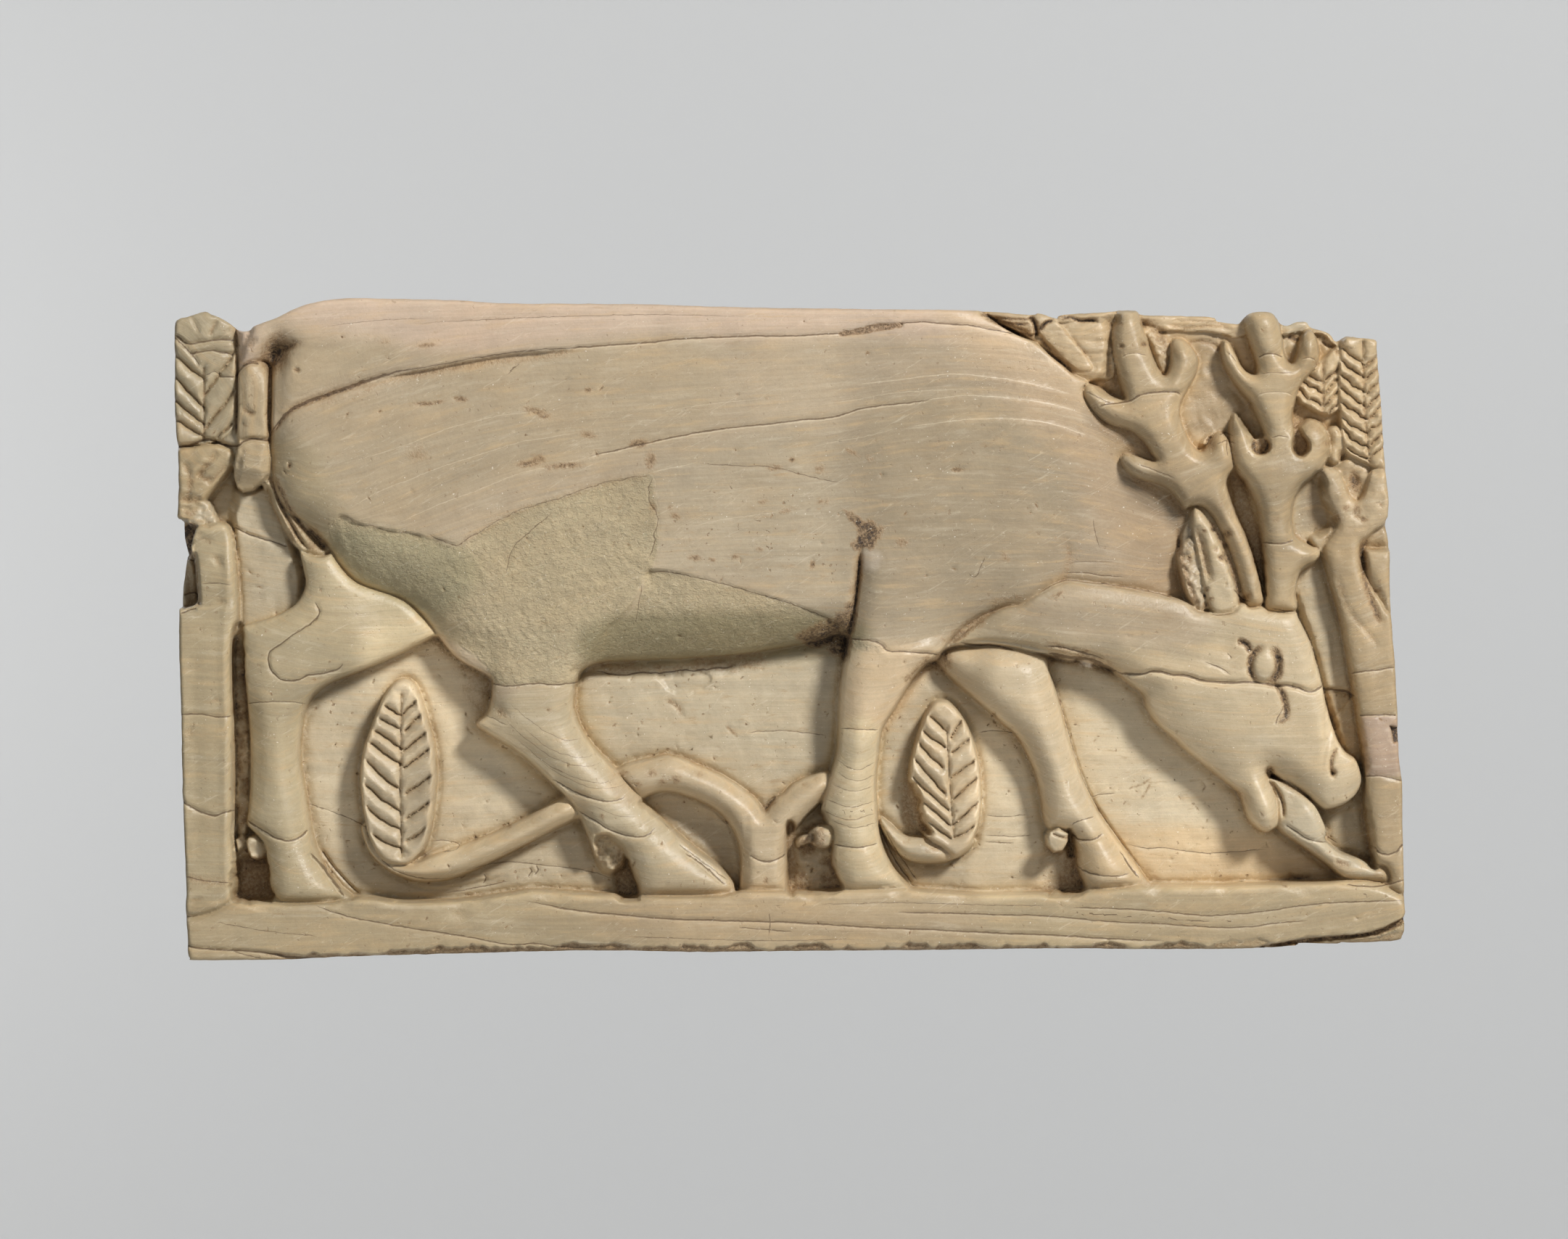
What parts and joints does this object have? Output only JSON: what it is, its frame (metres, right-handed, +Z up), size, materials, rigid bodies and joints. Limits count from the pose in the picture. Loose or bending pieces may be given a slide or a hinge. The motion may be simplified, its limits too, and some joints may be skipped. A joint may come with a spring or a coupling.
{
  "type": "ivory relief plaque",
  "caption": "Rectangular carved ivory furniture plaque in high relief: a grazing stag among leafy plants on a plain strip, with a flat back.",
  "frame": {"origin": "middle of the flat back face, half-way between the left and right edges and between the lowest and highest points of the outline", "axes": "+X to the viewer's right along the plaque's length, +Y out of the flat back, away from the viewer, +Z up the plaque; the carved face looks to -Y"},
  "size_m": [0.11, 0.01, 0.0591],
  "materials": {
    "ivory": "satin aged ivory, cream to honey coloured, with growth lines, fine cracks, brown dirt in the cuts and matt grey-green filler in two old losses"
  },
  "bodies": {
    "root": {"plaque": "ivory"}
  },
  "joints": []
}
